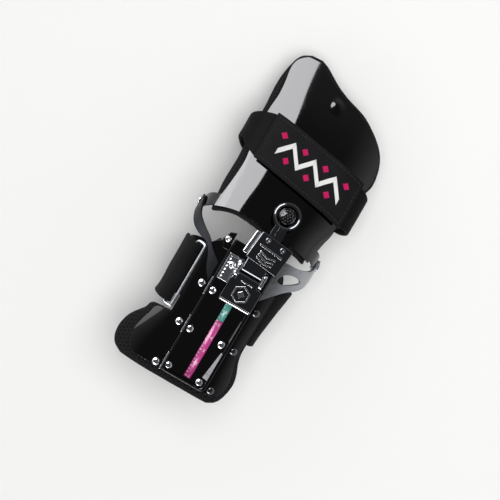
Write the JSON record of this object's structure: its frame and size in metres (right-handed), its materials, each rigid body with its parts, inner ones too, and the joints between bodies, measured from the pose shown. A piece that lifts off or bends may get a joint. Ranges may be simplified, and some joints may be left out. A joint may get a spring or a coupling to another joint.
{
  "type": "bowling wrist positioner glove",
  "caption": "Metal wrist positioner for bowling: hand and forearm plates on padded liners, hinged at the wrist, with a sliding cup adjuster, a link arm and two straps.",
  "frame": {"origin": "middle of the wrist strap's flat underside, on the surface the part rests on", "axes": "+X towards the little finger's side, +Y along the arm towards the fingers, +Z away from the surface, to the back of the hand"},
  "size_m": [0.1048, 0.2383, 0.0715],
  "materials": {
    "black_nickel": "polished black nickel plate",
    "chrome": "polished chrome plate",
    "satin_steel": "satin steel",
    "spacer_mesh": "black padded spacer mesh",
    "webbing": "black elastic webbing",
    "pink_film": "printed film",
    "teal_film": "printed film"
  },
  "bodies": {
    "forearm": {"forearm_liner": "spacer_mesh", "forearm_plate": "black_nickel", "front_tab": "black_nickel", "rail": "black_nickel", "scale_low": "pink_film", "scale_high": "teal_film", "tab_screw": "chrome", "arm_left": "black_nickel", "arm_right": "satin_steel", "pivot_left": "chrome", "pivot_right": "chrome", "wrist_strap": "webbing", "strap_loop": "chrome", "rivet_wing_left_1": "chrome", "rivet_wing_left_2": "chrome", "rivet_wing_left_3": "chrome", "rivet_rail_left_1": "chrome", "rivet_rail_left_2": "chrome", "rivet_rail_left_3": "chrome", "rivet_rail_right_1": "chrome", "rivet_rail_right_2": "chrome", "rivet_wing_right_1": "chrome", "rivet_wing_right_2": "chrome", "rivet_wing_right_3": "chrome"},
    "hand": {"hand_liner": "spacer_mesh", "hand_plate": "black_nickel", "ball_stud": "chrome", "palm_strap": "webbing", "strap_tab": "webbing"},
    "carriage": {"carriage": "chrome", "link_pin": "chrome", "lever_pin": "chrome", "index_plate": "chrome", "index_screw": "chrome"},
    "link": {"clamp_block": "chrome", "clamp_side_plate": "chrome", "clamp_screw_1": "satin_steel", "clamp_screw_2": "satin_steel", "link_arm": "chrome"},
    "lever": {"lock_lever": "chrome"}
  },
  "joints": [
    {"name": "wrist_cup", "type": "hinge", "parent": "forearm", "child": "hand", "pos_m": [0, 0.046, 0.03], "axis": [1, 0, 0], "range_deg": [-20, 6]},
    {"name": "rail_slide", "type": "slide", "parent": "forearm", "child": "carriage", "axis": [0, 1, 0], "range_m": [-0.0036, 0.0117]},
    {"name": "link_tilt", "type": "hinge", "parent": "carriage", "child": "link", "pos_m": [0.0071, 0.0255, 0.0676], "axis": [1, 0, 0], "range_deg": [-12, 4]},
    {"name": "lever_lift", "type": "hinge", "parent": "carriage", "child": "lever", "pos_m": [0.0071, 0.0197, 0.0674], "axis": [-1, 0, 0], "range_deg": [0, 60]}
  ],
  "couplings": [
    {"joint": "rail_slide", "follows": "wrist_cup", "m_per_rad": -0.0331},
    {"joint": "link_tilt", "follows": "wrist_cup", "ratio": 0.58}
  ]
}
